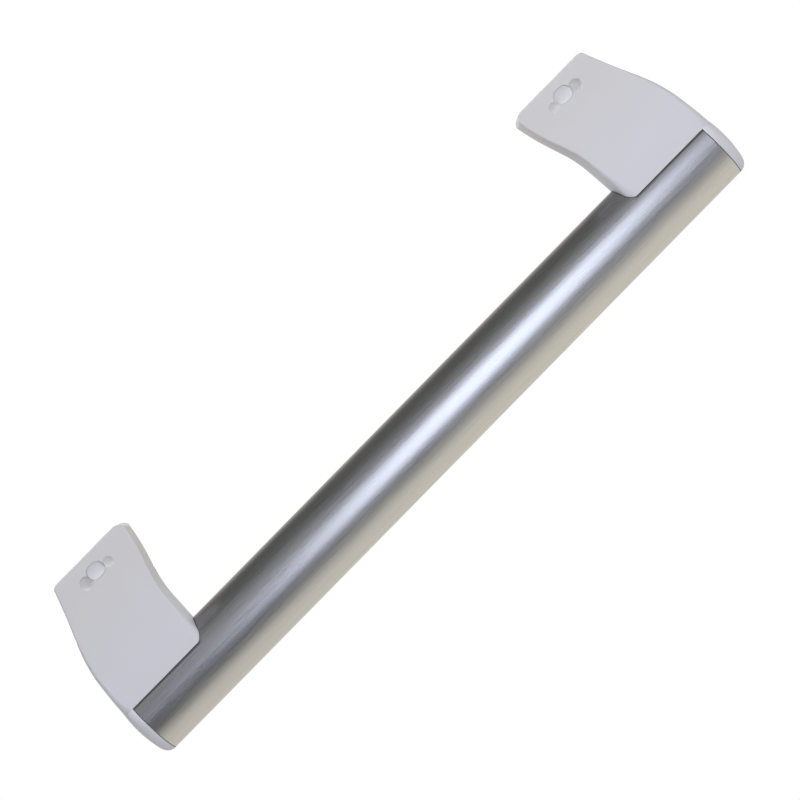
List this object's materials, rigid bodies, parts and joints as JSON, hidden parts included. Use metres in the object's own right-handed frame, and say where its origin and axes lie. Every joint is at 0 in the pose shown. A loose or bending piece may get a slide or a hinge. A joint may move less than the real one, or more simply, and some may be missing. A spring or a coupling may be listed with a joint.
{
  "type": "refrigerator door handle",
  "caption": "Bar handle for a refrigerator door: a round brushed metal grip tube held between curved plastic legs whose domed ends close the tube.",
  "frame": {"origin": "on the door face, midway between the two feet", "axes": "+Z away from the door, +X along the grip tube, Y across the grip; the set-screw plugs are on the -Y side"},
  "size_m": [0.3186, 0.03, 0.0757],
  "materials": {
    "grip_tube": "brushed along the tube",
    "leg_left": "satin light grey moulding",
    "stud_socket_left": "plain die-cast zinc alloy",
    "set_screw_left": "zinc-plated steel",
    "cover_plug_left": "satin light grey moulding",
    "leg_right": "satin light grey moulding",
    "stud_socket_right": "plain die-cast zinc alloy",
    "set_screw_right": "zinc-plated steel",
    "cover_plug_right": "satin light grey moulding"
  },
  "bodies": {
    "root": {"grip_tube": "grip_tube", "leg_left": "leg_left", "stud_socket_left": "stud_socket_left", "set_screw_left": "set_screw_left", "cover_plug_left": "cover_plug_left", "leg_right": "leg_right", "stud_socket_right": "stud_socket_right", "set_screw_right": "set_screw_right", "cover_plug_right": "cover_plug_right"}
  },
  "joints": []
}
